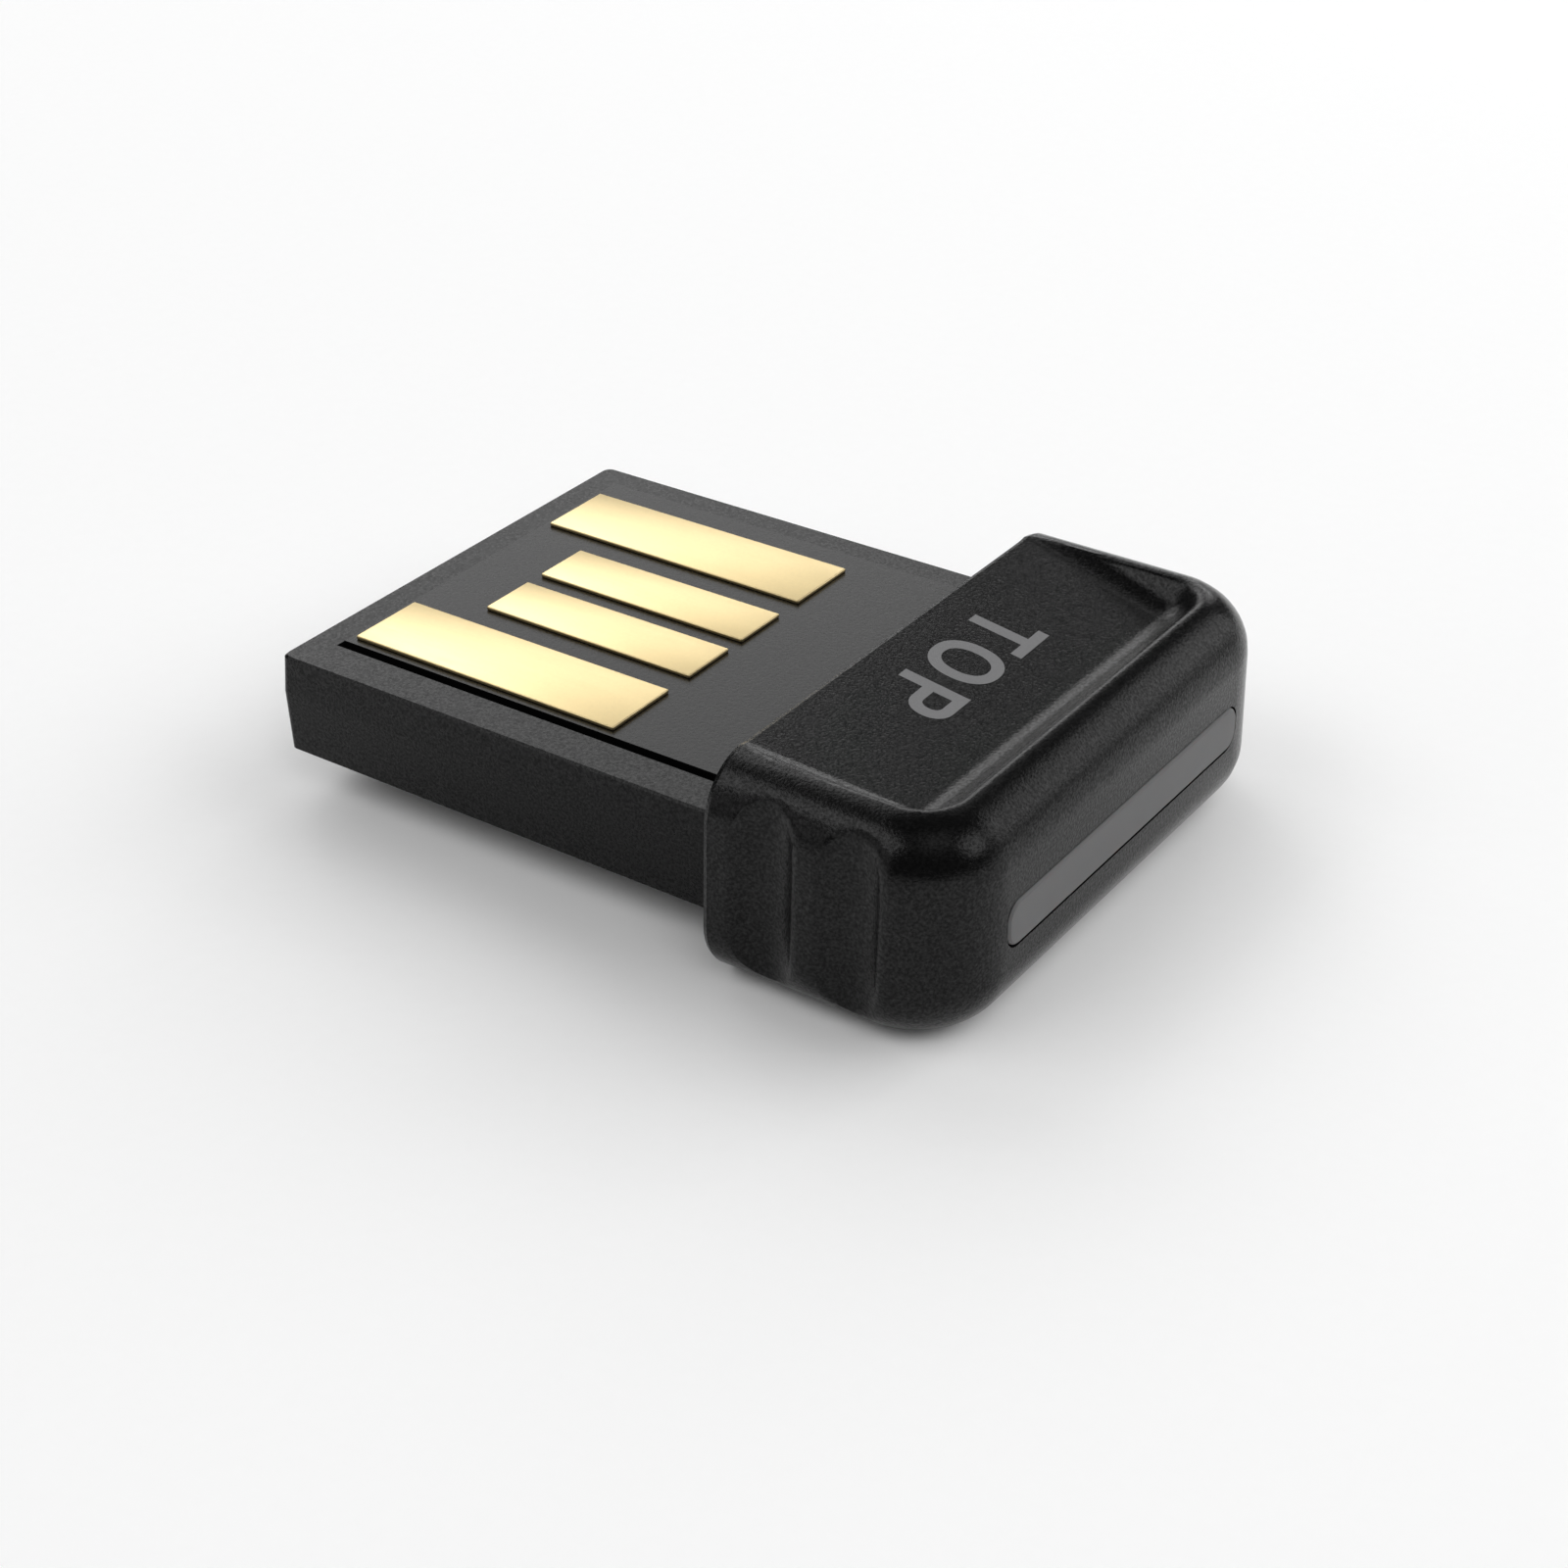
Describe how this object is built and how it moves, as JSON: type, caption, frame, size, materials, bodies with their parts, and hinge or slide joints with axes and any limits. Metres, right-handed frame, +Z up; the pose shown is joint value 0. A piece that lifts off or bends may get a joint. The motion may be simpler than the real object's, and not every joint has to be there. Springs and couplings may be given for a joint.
{
  "type": "usb bluetooth adapter",
  "caption": "Small black wireless adapter: a flat plug tongue with gold contacts and a moulded grip cap with a thumb scoop, side flutes and a light window.",
  "frame": {"origin": "middle of the underside: the middle of the whole length and width, at the plane of the cap's flat base", "axes": "+X from the plug's tip to the cap's end with the light window, +Y across the plug, +Z up, on the side of the contacts"},
  "size_m": [0.0186, 0.014, 0.0051],
  "materials": {
    "cap_plastic": "moulded black plastic with a fine eroded texture and a soft sheen",
    "carrier_plastic": "moulded black plastic, finely textured",
    "window_plastic": "smoke grey light diffusing plastic, satin",
    "board_mask": "black solder mask, finely textured",
    "contact_gold": "gold plated, satin",
    "chip_epoxy": "moulded epoxy",
    "can_metal": "nickel plated lid",
    "white_ceramic": "fired ceramic",
    "dark_ceramic": "fired ceramic",
    "tan_ceramic": "fired ceramic",
    "led_resin": "clear resin on a pale body"
  },
  "bodies": {
    "root": {"band_filter": "white_ceramic", "bypass_capacitor_1": "tan_ceramic", "bypass_capacitor_2": "tan_ceramic", "bypass_capacitor_3": "tan_ceramic", "chip_antenna": "white_ceramic", "circuit_board": "board_mask", "crystal_can": "can_metal", "crystal_capacitor_1": "tan_ceramic", "crystal_capacitor_2": "tan_ceramic", "data_minus_contact": "contact_gold", "data_plus_contact": "contact_gold", "data_resistor_1": "dark_ceramic", "data_resistor_2": "dark_ceramic", "esd_array": "chip_epoxy", "ferrite_bead": "dark_ceramic", "grip_cap": "cap_plastic", "ground_contact": "contact_gold", "input_capacitor": "tan_ceramic", "led_resistor_1": "dark_ceramic", "led_resistor_2": "dark_ceramic", "light_window": "window_plastic", "matching_capacitor": "tan_ceramic", "matching_inductor": "white_ceramic", "memory_chip": "chip_epoxy", "output_capacitor": "tan_ceramic", "plug_carrier": "carrier_plastic", "power_contact": "contact_gold", "radio_chip": "chip_epoxy", "status_led_1": "led_resin", "status_led_2": "led_resin", "voltage_regulator": "chip_epoxy"}
  },
  "joints": []
}
